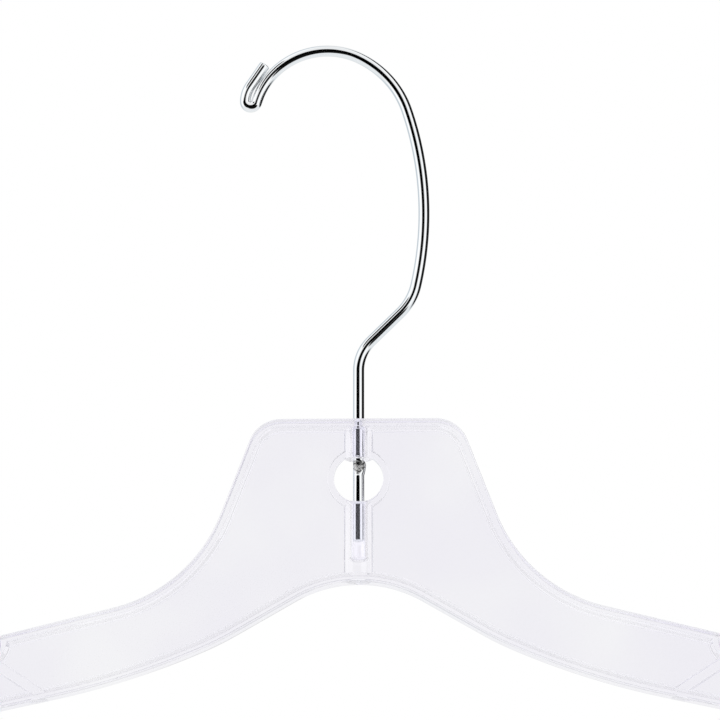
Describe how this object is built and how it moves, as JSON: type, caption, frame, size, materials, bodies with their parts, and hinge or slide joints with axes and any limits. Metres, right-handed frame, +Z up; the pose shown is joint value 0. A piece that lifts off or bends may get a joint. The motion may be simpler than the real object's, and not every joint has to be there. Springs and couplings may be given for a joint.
{
  "type": "clothes hanger",
  "caption": "Clear moulded shoulder hanger with a ribbed rim, strap notches and a bright wire hook that turns in its head.",
  "frame": {"origin": "the saddle: the inside of the hook at its highest point, where it bears on a rail", "axes": "+X along the hanger's width, to the right as seen from the front; +Y from front to back through its thickness; +Z up"},
  "size_m": [0.432, 0.0088, 0.2323],
  "materials": {
    "clear_plastic": "clear injection-moulded plastic with a faint lilac tint, glossy on the rim and slightly soft on the web",
    "bright_chrome": "bright chrome plating over drawn steel wire, with dull pinched ears"
  },
  "bodies": {
    "hook": {"wire_hook": "bright_chrome"},
    "body": {"hanger_body": "clear_plastic"}
  },
  "joints": [
    {"name": "swivel", "type": "hinge", "parent": "hook", "child": "body", "pos_m": [0.0098, 0, -0.118], "axis": [0, 0, 1], "continuous": true}
  ]
}
